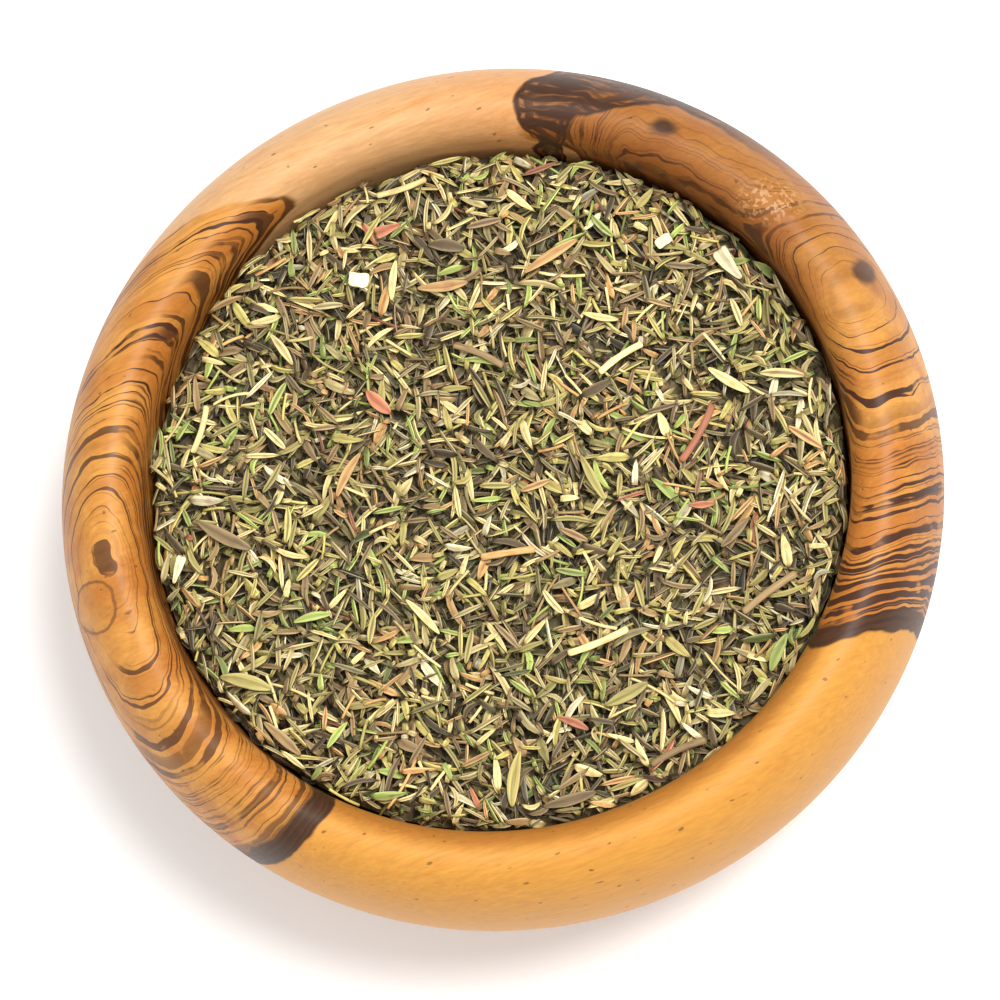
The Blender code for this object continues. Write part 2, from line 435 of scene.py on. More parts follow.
def fibre_group():
    _, entry, leave = new_group(
        "wood_fibre",
        {"Grain": "Vector"},
        {"Fibre": "Float", "Pore": "Float", "Cloud": "Float", "Streak": "Float"},
    )
    grain = entry["Grain"]
    drawn = grain * (1.0 / FIBRE_LENGTH, 1.0, 1.0)
    speck = noise(grain * (0.5, 1.0, 1.0), 0.6, 0.0)
    streak = noise(drawn * (0.6, 1.0, 1.0), 1.3, 2.0, 0.6)
    return leave(
        Fibre=noise(drawn, 0.5, 3.0, 0.7),
        Pore=ramp(speck, 0.79, 0.86),
        Cloud=noise(drawn, 4.5, 3.0, 0.55),
        Streak=ramp(streak, 0.58, 0.72),
    )


wood_fibre = fibre_group()

# %% [markdown]
# ## The bowl's finish
#
# Pale sapwood, orange heartwood and, along part of their border, a dark stained band. The lines
# crowd together on the near side of the pith, lie wide apart on the far side, and run as fine
# strands down the inner wall. The knots and the stained flame at the back sit where this bowl has
# them. Colours are linear.

# %% Olive wood: values
SAP_PALE = (0.53, 0.30, 0.132, 1.0)
SAP_GOLD = (0.51, 0.232, 0.037, 1.0)
SAP_STREAK = (0.48, 0.165, 0.025, 1.0)
# The next colour is painted shade: a darker gold for the sapwood of the inner wall.
INNER_WALL_SHADE = (0.34, 0.125, 0.018, 1.0)
HEART_LIGHT = (0.56, 0.262, 0.052, 1.0)
HEART_DEEP = (0.38, 0.130, 0.018, 1.0)
SMOKE = (0.20, 0.060, 0.009, 1.0)
LINE_SHADE = (0.150, 0.050, 0.014, 1.0)
LINE_DARK = (0.048, 0.014, 0.004, 1.0)
STAIN_DARK = (0.036, 0.013, 0.005, 1.0)
FAR_BORDER = 39.6
FAR_BORDER_SLANT = -0.07
NEAR_BORDER = 42.2
NEAR_BORDER_SLANT = 0.08

# Each knot: centre and size in millimetres, and how far it pushes the lines.
KNOTS = {
    "left_eye": ((-49.3, -15.4, 44.0), (3.1, 3.1, 14.0), 0.0),
    "left_bow": ((-49.5, -5.5, 42.0), (5.6, 9.0, 20.0), 2.9),
    "left_blob": ((-47.3, -20.0, 44.0), (3.6, 3.9, 16.0), 0.0),
    "right_knot": ((46.0, 25.4, 44.0), (1.9, 2.3, 12.0), 0.0),
    "right_bow": ((45.6, 22.5, 43.0), (7.0, 8.0, 20.0), 1.9),
    "back_knot": ((21.4, 43.6, 44.0), (2.5, 1.6, 10.0), 0.0),
    "rough_knot": ((34.6, 34.0, 44.0), (4.8, 3.4, 10.0), 0.0),
}


# %% [markdown]
# The stained flame at the back doesn't follow the years but the turned rim: it starts as a blunt
# tongue and runs on along the outside. It needs a place measured round the rim, in millimetres
# from the tongue's tip, and one across it, from the rim's crest.

# %% Olive wood: the flame
FLAME_TIP_TURN = math.radians(87.0)
BLUNTNESS = 0.16
TONGUE_WIDTH = 1.9


def rim_place(place, out, cloud):
    """How far round the rim from the flame's tip a place is, and how far outside the crest."""
    x, y, _ = split(place)
    round_rim = maths("ARCTAN2", y, x) * -CREST_RADIUS + FLAME_TIP_TURN * CREST_RADIUS
    over_rim = (noise(place, 5.0, 2.0, 0.55) - 0.5) * 3.2 + (out - CREST_RADIUS)
    return cloud * 2.0 + (round_rim - 1.0), over_rim


def flame_mask(round_rim, over_rim, cloud):
    """Nested dark tongues, open along the rim, fading where the flame runs out."""
    from_tip = round_rim - over_rim * over_rim * BLUNTNESS
    lower_edge = ramp(round_rim, 4.0, 9.0, -9.0, -1.5) + ramp(round_rim, 9.0, 19.0, 0.0, 6.0, "LINEAR")
    depth = maths("SMOOTH_MIN", from_tip, over_rim - lower_edge, 2.0)
    tongue = maths("FRACT", cloud * 0.7 + depth / TONGUE_WIDTH)
    tongue = ramp(tongue, 0.0, 0.3) * ramp(tongue, 0.75, 1.0, 1.0, 0.0)
    tongue = tongue * ramp(depth, 1.0, 6.0, 1.0, 0.3)
    both = tree_of(depth).nodes.new("ShaderNodeCombineXYZ")
    feed(both.inputs["X"], round_rim)
    feed(both.inputs["Y"], over_rim)
    stretched = Wire(both.outputs[0]) * (0.10, 1.0, 1.0)
    gaps = ramp(noise(stretched, 0.9, 2.0, 0.6), 0.47, 0.66, 1.0, 0.1)
    inside = ramp(depth, -0.1, 0.5) * ramp(round_rim, 20.0, 38.0, 0.97, 0.0)
    return inside, inside * larger(gaps, tongue)


# %% [markdown]
# The material is made step by step in one tree. First the distance to the pith, pushed by the
# knots, and the masks that say which part of the bowl a place is in. Then the growth lines, which
# are broad on one side of the pith and crowded on the other, and the colours of sap and heart.
# Last come the flame, the knots, the fibres and the pores.

# %% Olive wood: the material
def zones(along, side, out, round_rim, over_rim):
    """Masks for the parts of the bowl: the swirl, the two sides, the bows, the wall, the smoke."""
    return {
        "swirl": ramp(round_rim, 8.0, 16.0) * ramp(round_rim, 30.0, 44.0, 0.9, 0.0),
        "near": ramp(side, -24.0, -12.0, 1.0, 0.0),
        "far_left": ramp(side, 14.0, 22.0) * ramp(along, -8.0, 4.0, 1.0, 0.0),
        "bows": ramp(side, -17.5, -15.5) * ramp(side, 1.0, 5.0, 1.0, 0.0) * ramp(along, 0.0, 10.0),
        "wall": ramp(out, 44.6, 47.0, 0.85, 0.0),
        "smoke": ramp(round_rim, 0.0, 9.0)
        * ramp(round_rim, 34.0, 68.0, 0.9, 0.0)
        * ramp(over_rim, -5.0, 5.0, 1.0, 0.7),
        "near_flame": ramp(round_rim, -18.0, 0.0, 0.0, 0.35) * ramp(round_rim, 8.0, 16.0, 1.0, 0.0),
    }


def olive_wood():
    material, tree, shader = new_material("olive_wood", 0.42)
    shader.inputs["Specular IOR Level"].default_value = 0.25
    where = source(tree, "TexCoord", "Object")
    log = place_group(tree, olive_log, Vector=where)
    place = where * (1.0 / MM)
    along, side, distance = split(log["Grain"])[0], log["Side"], log["Distance"]
    reach = {}
    for name, (centre, size, push) in KNOTS.items():
        around = place_group(tree, knot, Vector=place, Centre=centre, Size=size)
        reach[name] = around["Reach"]
        if push:
            distance = distance - around["Hill"] * push
    tilt = ramp(along, -54.0, -32.0, 11.0, 0.0, "LINEAR") * ramp(side, -34.0, 2.0, 1.0, 0.0)
    distance = distance - tilt
    fibre = place_group(tree, wood_fibre, Grain=log["Grain"])
    fine, cloud = fibre["Fibre"], fibre["Cloud"]

    out = length(place * (1.0, 1.0, 0.0))
    round_rim, over_rim = rim_place(place, out, cloud)
    zone = zones(along, side, out, round_rim, over_rim)
    swirl, near, wall = zone["swirl"], zone["near"], zone["wall"]
    distance = ramp(swirl, 0.0, 1.0, distance, over_rim * 0.9 + 26.0, "LINEAR")

    facts = {"Vector": place, "Distance": distance, "Weakest": 0.3}
    broad = place_group(tree, growth_lines, Year_Width=2.6, Line_Share=0.10, Shade=0.8, **facts)
    narrow = place_group(tree, growth_lines, Year_Width=1.3, Line_Share=0.23, Shade=0.9, **facts)
    broad_share = larger(larger(zone["far_left"], zone["bows"]), swirl * -0.5 + 0.8)
    narrow_share = larger(larger(near * ramp(along, -46.0, -24.0, 0.55, 1.0), wall), 0.12)
    plain = maths(
        "MINIMUM", ramp(reach["left_eye"], 0.75, 1.0), ramp(reach["left_blob"], 0.6, 1.1, 0.1, 1.0)
    )
    lines, shades = (
        larger(broad[output] * broad_share, narrow[output] * narrow_share) * plain
        for output in ("Line", "Shade")
    )

    near_border = along * NEAR_BORDER_SLANT + NEAR_BORDER
    far_border = along * FAR_BORDER_SLANT + FAR_BORDER
    past = distance + cloud - (ramp(side, -10.0, 10.0, near_border, far_border) + 0.5)
    heart = ramp(past, -0.15, 0.25, 1.0, 0.0)
    stain_start, stain_full = (ramp(along, -20.0, 10.0, *ends) for ends in ((-3.9, -2.3), (-2.6, -1.9)))
    stain = ramp(past, stain_start, stain_full) * heart * ramp(side, -10.0, 0.0, 1.0, 0.0)

    sap = mixed(ramp(side, -34.0, 36.0), SAP_GOLD, SAP_PALE)
    sap = mixed(fibre["Streak"] * 0.4, sap, SAP_STREAK)
    sap = mixed(broad["Shade"] * 0.5, sap, SAP_STREAK)
    # Painted shade: the sapwood of the inner wall is darkened, most on the near side.
    sap = mixed(wall * ramp(side, -30.0, 0.0, 1.0, 0.1), sap, INNER_WALL_SHADE)
    sap = mixed(zone["near_flame"], sap, SAP_STREAK)
    # Painted shade: wall * 0.5 darkens the heartwood on the inner wall; the rest is its own colour.
    deep = wall * 0.5 + ramp(cloud, 0.3, 0.7, 0.75, 0.0)
    deep = maths("ADD", deep, ramp(along, -40.0, 30.0, 0.18, 0.0), clamp=True)
    body = mixed(deep + near * ramp(along, 15.0, 40.0, 0.0, 0.45), HEART_LIGHT, HEART_DEEP)
    body = mixed(zone["smoke"], body, SMOKE)
    body = mixed(shades * (swirl * 0.25 + 0.75), body, LINE_SHADE)
    body = mixed(lines, body, LINE_DARK)
    body = mixed(stain * 0.95, body, STAIN_DARK)
    colour = mixed(heart, sap, body)

    scorched, tongues = flame_mask(round_rim, over_rim, cloud)
    colour = mixed(scorched * 0.8, colour, SMOKE)
    colour = mixed(tongues, colour, STAIN_DARK)
    for name, fade_start, strength in (("right_knot", 0.55, 0.85), ("back_knot", 0.35, 0.95)):
        colour = mixed(ramp(reach[name], fade_start, 1.05, strength, 0.0), colour, STAIN_DARK)
    for name, width, strength in (("left_eye", 0.09, 0.75), ("left_blob", 0.25, 0.14)):
        ring = maths("ABSOLUTE", reach[name] - 1.0)
        colour = mixed(ramp(ring, width * 0.4, width, strength, 0.0), colour, LINE_SHADE)
    torn = ramp(noise(place, 0.55, 1.0, 0.6), 0.5, 0.62)
    torn = torn * ramp(reach["rough_knot"], 0.4, 1.15, 0.55, 0.0)
    colour = mixed(torn, colour, SAP_PALE) * ramp(fine, 0.25, 0.75, 0.83, 1.13, "LINEAR")
    colour = mixed(fibre["Pore"] * 0.6, colour, LINE_DARK)
    feed(shader.inputs["Base Color"], colour)
    feed(shader.inputs["Roughness"], ramp(fine, 0.2, 0.8, 0.40, 0.58, "LINEAR"))
    add_bump(shader, fine - fibre["Pore"], 0.00006, 0.35)
    return material


wood = olive_wood()

# %% [markdown]
# ## The bowl
#
# A bowl is turned on a lathe, and it is modelled the same way: its section is drawn point by
# point, by extruding a single vertex, and is then spun round the upright axis. Its proportions
# are those of the frame's bowl, with far more points on every curve.

# %% Turn the bowl
LATHE_STEPS = 320


def arc(centre, semi_axes, start, end, count, fullness=2.0):
    """Points on a superellipse from one angle to another, in degrees, both ends included."""
    points = []
    for step in range(count + 1):
        angle = math.radians(start + (end - start) * step / count)
        across = abs(math.cos(angle)) ** (2.0 / fullness)
        up = abs(math.sin(angle)) ** (2.0 / fullness)
        x = centre[0] + math.copysign(semi_axes[0] * across, math.cos(angle))
        z = centre[1] + math.copysign(semi_axes[1] * up, math.sin(angle))
        points.append((x, z))
    return points


def bowl_section():
    height = crest_z / MM
    inside = arc((0.0, LIP_Z), (LIP_RADIUS, LIP_Z - FLOOR_Z), -90.0, 0.0, 30, INSIDE_FULLNESS)
    inside[0] = (0.0, FLOOR_Z)
    lip = arc((CREST_RADIUS, LIP_Z), (CREST_RADIUS - LIP_RADIUS, height - LIP_Z), 180.0, 90.0, 18)
    shoulder = arc((CREST_RADIUS, BELLY_Z), (RADIUS - CREST_RADIUS, height - BELLY_Z), 90.0, 0.0, 26)
    lowest = -math.degrees(math.asin((BELLY_Z - FOOT_CHAMFER) / FOOT_CURVE_DEPTH))
    foot_curve = (RADIUS - FOOT_CURVE_RADIUS, FOOT_CURVE_DEPTH)
    belly = arc((FOOT_CURVE_RADIUS, BELLY_Z), foot_curve, 0.0, lowest, 30)
    foot = belly[-1][0] - FOOT_CHAMFER
    return inside + lip[1:] + shoulder[1:] + belly[1:] + [(foot, 0.0), (foot * 0.5, 0.0), (0.0, 0.0)]


def draw_and_spin(name, section, steps):
    """Extrude one vertex along the section, then spin it into a closed, outward-facing shell."""
    bpy.ops.object.select_all(action="DESELECT")
    bpy.ops.mesh.primitive_plane_add(size=MM)
    piece = bpy.context.active_object
    piece.name = name
    bpy.ops.object.mode_set(mode="EDIT")
    bpy.ops.mesh.select_all(action="SELECT")
    bpy.ops.mesh.merge(type="CENTER")
    bpy.ops.transform.translate(value=(section[0][0] * MM, 0.0, section[0][1] * MM))
    for (x, z), (next_x, next_z) in zip(section, section[1:]):
        step = ((next_x - x) * MM, 0.0, (next_z - z) * MM)
        bpy.ops.mesh.extrude_region_move(TRANSFORM_OT_translate={"value": step})
    bpy.ops.mesh.select_all(action="SELECT")
    bpy.ops.mesh.spin(steps=steps, angle=math.tau, center=(0.0, 0.0, 0.0), axis=(0.0, 0.0, 1.0))
    bpy.ops.mesh.select_all(action="SELECT")
    bpy.ops.mesh.remove_doubles(threshold=MM / 1000.0)
    bpy.ops.mesh.normals_make_consistent(inside=False)
    bpy.ops.object.mode_set(mode="OBJECT")
    return piece


def dry_oval(piece):
    """Shrink the piece across its grain, as green wood does when it dries."""
    piece.scale = (ALONG_GRAIN, ACROSS_GRAIN, 1.0)
    piece.rotation_euler.z = GRAIN_HEADING
    bpy.ops.object.transform_apply(location=True, rotation=True, scale=True)


bowl = draw_and_spin("turned_bowl", bowl_section(), LATHE_STEPS)
dry_oval(bowl)
bpy.ops.object.shade_smooth_by_angle(angle=math.radians(40.0))
bowl.data.materials.append(wood)
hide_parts("olive_wood_bowl")
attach(bowl, "root")
print("turned_bowl:", len(bowl.data.polygons), "faces")

# %% [markdown]
# ## Dried thyme: the shapes of its litter
#
# Rubbed thyme is small stuff: narrow leaves whose margins have rolled under as they dried, broader
# ones that stayed open, leaves broken across, crumbs, and bits of thin stem. Thousands of pieces
# are needed, so each shape has only a few dozen faces: a ring of six corners is drawn out
# along the leaf, made wider and narrower on the way, and closed to a tip or cut off square. The
# corner at the top of the ring is pulled down first, which gives the groove over the midrib.

# %% A ring drawn out into a leaf
SIDES = 6


def select_where(piece, wanted):
    """In edit mode, select just the corners whose place is wanted."""
    shape = bmesh.from_edit_mesh(piece.data)
    for corner in shape.verts:
        corner.select = wanted(corner.co)
    shape.select_flush_mode()
    bmesh.update_edit_mesh(piece.data)


def draw_out(name, stations, sides, groove, hollow, ends):
    """Draw a ring through stations of (along, half width, half thickness, aside, lift)."""
    bpy.ops.object.select_all(action="DESELECT")
    quarter = math.pi / 2.0
    bpy.ops.mesh.primitive_circle_add(vertices=sides, radius=1.0, rotation=(quarter, 0.0, quarter))
    piece = bpy.context.active_object
    piece.name = name
    bpy.ops.object.transform_apply(location=True, rotation=True, scale=True)
    bpy.ops.object.mode_set(mode="EDIT")
    bpy.ops.mesh.select_mode(type="VERT")
    select_where(piece, lambda at: at.z > 0.95)
    bpy.ops.transform.translate(value=(0.0, 0.0, -groove))
    select_where(piece, lambda at: at.z < -0.95)
    bpy.ops.transform.translate(value=(0.0, 0.0, hollow))
    bpy.ops.mesh.select_all(action="SELECT")
    along, wide, thick, aside, lift = stations[0]
    bpy.ops.transform.resize(value=(1.0, wide, thick), center_override=(0.0, 0.0, 0.0))
    bpy.ops.transform.translate(value=(along, aside, lift))
    for last, station in zip(stations, stations[1:]):
        step = [station[axis] - last[axis] for axis in (0, 3, 4)]
        bpy.ops.mesh.extrude_region_move(TRANSFORM_OT_translate={"value": step})
        grow = (1.0, station[1] / last[1], station[2] / last[2])
        bpy.ops.transform.resize(value=grow, center_override=(station[0], station[3], station[4]))
    for end, station in zip(ends, (stations[0], stations[-1])):
        select_where(piece, lambda at: abs(at.x - station[0]) < 1e-5)
        if end == "tip":
            bpy.ops.mesh.merge(type="CENTER")
        else:
            bpy.ops.mesh.edge_face_add()
    bpy.ops.mesh.select_all(action="SELECT")
    bpy.ops.mesh.normals_make_consistent(inside=False)
    bpy.ops.object.mode_set(mode="OBJECT")
    return piece


# %% [markdown]
# A leaf's outline is a list of shares of its full width, from the base to the tip. From it and
# from three sizes in millimetres come the stations of the ring. A leaf can also sweep to one side
# and arch upwards, which are the two ways in which these leaves bend as they dry.

# %% Outlines and sizes
LENS = (0.16, 0.66, 0.95, 1.0, 0.72, 0.14)
SPEAR = (0.22, 0.85, 1.0, 0.8, 0.5, 0.1)
PADDLE = (0.22, 0.45, 0.85, 1.0, 0.86, 0.24)
NEEDLE = (0.35, 0.86, 1.0, 0.95, 0.8, 0.25)
BROKEN = (0.86, 1.0, 0.9, 0.62, 0.12)
SCRAP = (0.85, 1.0, 0.8)
ROD = (0.9, 1.0, 0.86, 0.95)
TWIG = (0.95, 0.86, 0.9, 0.84, 1.0, 0.8)


def stations_for(outline, length, width, thickness, sweep, arch):
    stations = []
    for step, share in enumerate(outline):
        along = step / (len(outline) - 1)
        bow = 1.0 - (2.0 * along - 1.0) ** 2
        deep = 0.5 * thickness * (0.45 + 0.55 * share)
        stations.append((length * (along - 0.5), 0.5 * width * share, deep, sweep * bow, arch * bow))
    return stations


TIPS, CUTS, SNAPPED, MOUTH = ("tip", "tip"), ("cut", "cut"), ("cut", "tip"), ("tip", "mouth")

# Each shape: outline, length, width and thickness in mm, sweep, arch, groove, hollow, ends, share.
LITTER = {
    "rolled_leaf": (LENS, 4.7, 0.68, 0.52, 0.0, 0.10, 0.75, 0.6, TIPS, 14),
    "bent_leaf": (NEEDLE, 5.3, 0.60, 0.50, 0.45, 0.14, 0.70, 0.6, TIPS, 9),
    "needle": (NEEDLE, 3.9, 0.44, 0.40, 0.10, 0.0, 0.55, 0.4, TIPS, 17),
    "lance_leaf": (SPEAR, 4.6, 0.98, 0.44, 0.14, 0.18, 0.85, 0.7, TIPS, 9),
    "swept_leaf": (LENS, 5.5, 0.86, 0.46, 0.62, 0.24, 0.80, 0.7, TIPS, 5),
    "open_leaf": (PADDLE, 4.4, 1.28, 0.42, 0.14, 0.30, 0.90, 0.8, TIPS, 4),
    "broken_leaf": (BROKEN, 2.9, 0.84, 0.44, 0.06, 0.06, 0.75, 0.6, SNAPPED, 10),
    "broken_needle": (BROKEN, 2.4, 0.50, 0.44, 0.08, 0.0, 0.6, 0.4, SNAPPED, 13),
    "hooked_leaf": (LENS, 3.9, 0.70, 0.48, 1.00, 0.20, 0.7, 0.6, TIPS, 4),
    "crumb": (SCRAP, 1.20, 0.66, 0.36, 0.0, 0.05, 0.5, 0.4, CUTS, 9),
    "stem_bit": (ROD, 3.7, 0.40, 0.38, 0.10, 0.05, 0.0, 0.0, CUTS, 8),
    "thin_stem": (TWIG, 6.2, 0.42, 0.40, 0.38, 0.15, 0.0, 0.0, CUTS, 3),
}


def read(items, attribute, width=1, kind=float):
    """One attribute of all the vertices, loops or faces of a mesh."""
    values = np.empty(len(items) * width, dtype=kind)
    items.foreach_get(attribute, values)
    return values.reshape(-1, width) if width > 1 else values


def read_shape(piece):
    """The corners, face corners and face starts of a modelled piece."""
    mesh = piece.data
    loops = read(mesh.loops, "vertex_index", kind=np.int64)
    return read(mesh.vertices, "co", 3), loops, read(mesh.polygons, "loop_start", kind=np.int64)


def across_shares(corners, stations):
    """Where each corner is across its leaf: 0 and 1 underneath, 0.5 over the midrib."""
    places = [station[0] for station in stations]
    wide, aside, lift = (
        np.interp(corners[:, 0], places, [station[part] for station in stations]) for part in (1, 3, 4)
    )
    share = (corners[:, 1] - aside) / np.maximum(wide, 1e-6)
    share = np.where(np.abs(corners[:, 0]) > 0.999 * abs(places[0]), 0.0, share)
    under = (corners[:, 2] < lift - 1e-6) & (np.abs(share) > 0.1)
    return np.where(under, 0.5 + 0.5 * np.sign(share), 0.5 + 0.42 * share)


class Shape:
    """One modelled shape of litter, ready to be copied."""

    def __init__(self, name, outline, length, width, thickness, sweep, arch, *rest):
        groove, hollow, ends, share = rest
        stations = stations_for(outline, length, width, thickness, sweep, arch)
        piece = draw_out(name, stations, SIDES, groove, hollow, ends)
        self.name, self.share, self.size = name, share, (length, width, thickness)
        self.corners, self.loops, self.starts = read_shape(piece)
        self.along = self.corners[:, 0] / length + 0.5
        self.across = across_shares(self.corners, stations)
        self.outline, self.sweep, self.arch = np.array(outline), sweep, arch
        bpy.data.objects.remove(piece)


shapes = [Shape(name, *facts) for name, facts in LITTER.items()]
for shape in shapes:
    print(f"{shape.name}: {len(shape.starts)} faces")

# %% [markdown]
# ## Filling the bowl
#
# If leaves are scattered at one height they pass through each other, and if they are dropped by a
# physics engine it takes very long for thousands. There is a middle way. A fine grid of heights
# remembers how high the heap stands everywhere. A falling leaf looks up the heights below its
# length, rests on the highest ones before and behind its middle, tips to lie on both, and then
# raises the grid by its own thickness. So every leaf lies on those below it.

# %% The heap's heights
FILL_EDGE_Z = 38.0
FILL_CROWN = 1.8
GRID_STEP = 0.16
GRID_HALF = 45.0
HEAP_RADIUS = 43.4
START_DEPTH = 3.2
LEAF_COUNT = 11000
STEEPEST = math.radians(24.0)
ROLL_SPREAD = 20.0
SINK = 0.10
TRIES = 2
CEILING = 0.45
EDGE_RISE = 0.7
EDGE_START = 37.0
EDGE_WIDTH = 5.0

grid_count = int(2 * GRID_HALF / GRID_STEP) + 1
grid_line = np.linspace(-GRID_HALF, GRID_HALF, grid_count)
grid_x, grid_y = np.meshgrid(grid_line, grid_line, indexing="ij")


def fill_height(x, y):
    return FILL_EDGE_Z + FILL_CROWN * (1.0 - (x * x + y * y) / LIP_RADIUS**2)


def from_axis(x, y):
    """Distance from the bowl's axis, measured as if the bowl had not shrunk across its grain."""
    cosine, sine = math.cos(GRAIN_HEADING), math.sin(GRAIN_HEADING)
    return np.hypot((x * cosine + y * sine) / ALONG_GRAIN, (y * cosine - x * sine) / ACROSS_GRAIN)


settled = fill_height(grid_x, grid_y)
heights = settled - START_DEPTH
towards_edge = np.clip((from_axis(grid_x, grid_y) - EDGE_START) / EDGE_WIDTH, 0.0, 1.0)
ceiling = settled + CEILING + EDGE_RISE * towards_edge


# %% [markdown]
# The larger pieces that can be told apart have their own places in the frame. They are measured
# there: the long axis of each one gives its heading. The loose litter has to stay below them, so
# they press the ceiling of the heap down where they lie.

# %% Measure the pieces that have a place of their own
def lay_of(node):
    """A frame node's middle, heading, length, width, lowest and highest point, in mm."""
    places = read(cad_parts[node].data.vertices, "co", 3) / MM
    low, high = places.min(0), places.max(0)
    plan = places[:, :2] - places[:, :2].mean(0)
    _, axes = np.linalg.eigh(plan.T @ plan)
    long_axis = axes[:, 1]
    short_axis = np.array((-long_axis[1], long_axis[0]))
    heading = math.atan2(long_axis[1], long_axis[0])
    along, across = plan @ long_axis, plan @ short_axis
    middle = places[:, :2].mean(0) + long_axis * (along.max() + along.min()) / 2.0
    middle = middle + short_axis * (across.max() + across.min()) / 2.0
    return {
        "middle": middle,
        "heading": heading,
        "length": float(np.ptp(along)),
        "width": float(np.ptp(across)),
        "low": float(low[2]),
        "high": float(high[2]),
    }


LOOSE_PARTS = [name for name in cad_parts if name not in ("olive_wood_bowl", "thyme_fill")]
lays = {name: lay_of(name) for name in sorted(LOOSE_PARTS)}


def cells_under(middle, heading, length, width):
    """The grid window under a piece, and each cell's place along and across it."""
    reach = 0.5 * (length * abs(math.cos(heading)) + width * abs(math.sin(heading))) + GRID_STEP
    rise = 0.5 * (length * abs(math.sin(heading)) + width * abs(math.cos(heading))) + GRID_STEP
    window = []
    for value, half in zip(middle, (reach, rise)):
        first = int((value - half + GRID_HALF) / GRID_STEP)
        window.append(slice(max(first, 0), int((value + half + GRID_HALF) / GRID_STEP) + 2))
    window = tuple(window)
    x, y = grid_x[window] - middle[0], grid_y[window] - middle[1]
    cosine, sine = math.cos(heading), math.sin(heading)
    return window, x * cosine + y * sine, y * cosine - x * sine


def under_piece(lay):
    """The grid window under a piece, and which of its cells the piece's oval covers."""
    window, along, across = cells_under(lay["middle"], lay["heading"], lay["length"], lay["width"])
    return window, (along * 2.0 / lay["length"]) ** 2 + (across * 2.0 / lay["width"]) ** 2 < 1.0


for lay in lays.values():
    window, inside = under_piece(lay)
    ceiling[window] = np.where(inside, np.minimum(ceiling[window], lay["low"] + 0.1), ceiling[window])
print(len(lays), "pieces have places of their own")

# %% [markdown]
# Every random choice comes from one seeded generator, so that the heap is the same each time.

# %% Let the leaves fall
draws = np.random.default_rng(20)
STATION_COUNT = 9
station_shares = np.linspace(-0.5, 0.5, STATION_COUNT)


def rest_of(shape, size, middle, heading):
    """Height and slope at which a piece comes to rest, or None where it would not fit."""
    length, width, thickness = size
    along = station_shares * length
    bow = 1.0 - (2.0 * station_shares) ** 2
    aside = shape.sweep * bow
    cosine, sine = math.cos(heading), math.sin(heading)
    x = middle[0] + along * cosine - aside * sine
    y = middle[1] + along * sine + aside * cosine
    if from_axis(x, y).max() > HEAP_RADIUS:
        return None
    half = 0.32 * width
    below = None
    for side in (-half, 0.0, half):
        row = np.rint((x - side * sine + GRID_HALF) / GRID_STEP).astype(int)
        column = np.rint((y + side * cosine + GRID_HALF) / GRID_STEP).astype(int)
        under = heights[row, column]
        below = under if below is None else np.maximum(below, under)
    below = below - shape.arch * bow * 0.6
    middle_station = STATION_COUNT // 2
    back, front = along[:middle_station], along[middle_station + 1 :]
    gap = front[None, :] - back[:, None]
    at_back, at_front = below[:middle_station], below[middle_station + 1 :]
    at_middle = (at_back[:, None] * front[None, :] - at_front[None, :] * back[:, None]) / gap
    best = np.unravel_index(np.argmax(at_middle), at_middle.shape)
    slope = (at_front[best[1]] - at_back[best[0]]) / gap[best]
    slope = min(max(slope, -math.tan(STEEPEST)), math.tan(STEEPEST))
    level = (below - slope * along).max() - SINK
    top = level + thickness * 0.8 + slope * along
    rows = np.rint((x + GRID_HALF) / GRID_STEP).astype(int)
    columns = np.rint((y + GRID_HALF) / GRID_STEP).astype(int)
    if (top > ceiling[rows, columns]).any():
        return None
    return level + 0.5 * thickness, slope, level - fill_height(middle[0], middle[1])


def raise_heap(shape, size, middle, heading, level, slope):
    length, width, thickness = size
    window, along, across = cells_under(middle, heading, length, width + 2.0 * abs(shape.sweep))
    share = along / length + 0.5
    across = across - shape.sweep * (1.0 - (2.0 * share - 1.0) ** 2)
    outline = np.interp(share, np.linspace(0.0, 1.0, len(shape.outline)), shape.outline)
    inside = (np.abs(across) < 0.5 * width * outline) & (share > 0.0) & (share < 1.0)
    bow = shape.arch * (1.0 - (2.0 * share - 1.0) ** 2)
    top = level + slope * along + 0.35 * thickness + bow
    heights[window] = np.where(inside, np.maximum(heights[window], top), heights[window])


def drop(shape, size):
    """Try a few places and headings and keep the lowest one. Returns how the piece lies."""
    best = None
    for _ in range(TRIES):
        out, turn = HEAP_RADIUS * math.sqrt(draws.random()), math.tau * draws.random()
        middle = (out * math.cos(turn), out * math.sin(turn))
        heading = math.tau * draws.random()
        rest = rest_of(shape, size, middle, heading)
        if rest and (best is None or rest[2] < best[1][2]):
            best = (middle, rest, heading)
    if best is None:
        return None
    middle, (level, slope, _), heading = best
    raise_heap(shape, size, middle, heading, level, slope)
    roll = math.radians(draws.normal(0.0, ROLL_SPREAD))
    return (*middle, level, heading, slope, roll)


def random_size(shape):
    length, width, thickness = shape.size
    grow = draws.uniform(0.72, 1.22)
    return length * grow, width * draws.uniform(0.8, 1.2), thickness * draws.uniform(0.85, 1.1)


def pour(count, kinds):
    weights = np.array([shape.share for shape in kinds], dtype=float)
    poured = []
    for choice in draws.choice(len(kinds), size=count, p=weights / weights.sum()):
        shape = kinds[choice]
        size = random_size(shape)
        lie = drop(shape, size)
        if lie:
            poured.append((shape, size, lie))
    return poured


heap = pour(LEAF_COUNT, shapes)
above = (heights - settled)[from_axis(grid_x, grid_y) < EDGE_START]
print(len(heap), "pieces; the top's mean height, mm:", round(float(above.mean()), 2))
